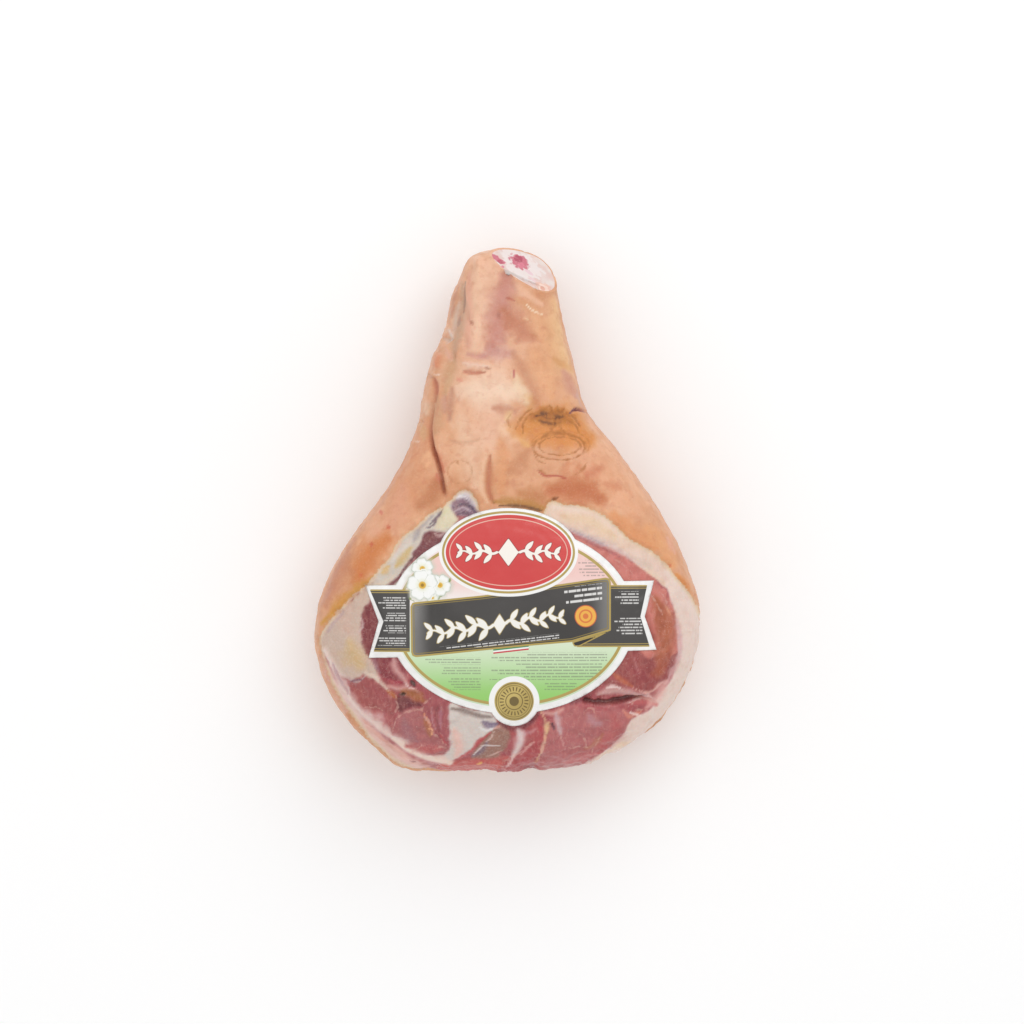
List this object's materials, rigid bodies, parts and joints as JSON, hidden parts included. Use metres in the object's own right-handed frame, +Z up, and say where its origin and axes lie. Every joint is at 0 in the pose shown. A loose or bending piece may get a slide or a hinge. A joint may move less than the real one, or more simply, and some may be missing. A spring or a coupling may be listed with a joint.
{
  "type": "cured ham",
  "caption": "Boned and pressed dry-cured ham, pear-shaped with a sawn shank, lying on its rind with a die-cut paper label on its lean side, for slicing or display.",
  "frame": {"origin": "under the middle of the ham's box, at the height of the surface that it rests on", "axes": "+Y runs along the ham from its butt to its sawn shank, +Z points up out of the lean side that carries the label, and +X points to the right as the label is read"},
  "size_m": [0.312, 0.42, 0.1271],
  "materials": {
    "ham_surface": "cured pork: tan rind with a waxy fat edge and glossy red lean under a film of brine",
    "label_paper": "satin laminated paper, printed"
  },
  "bodies": {
    "root": {"ham": "ham_surface", "label": "label_paper"}
  },
  "joints": []
}
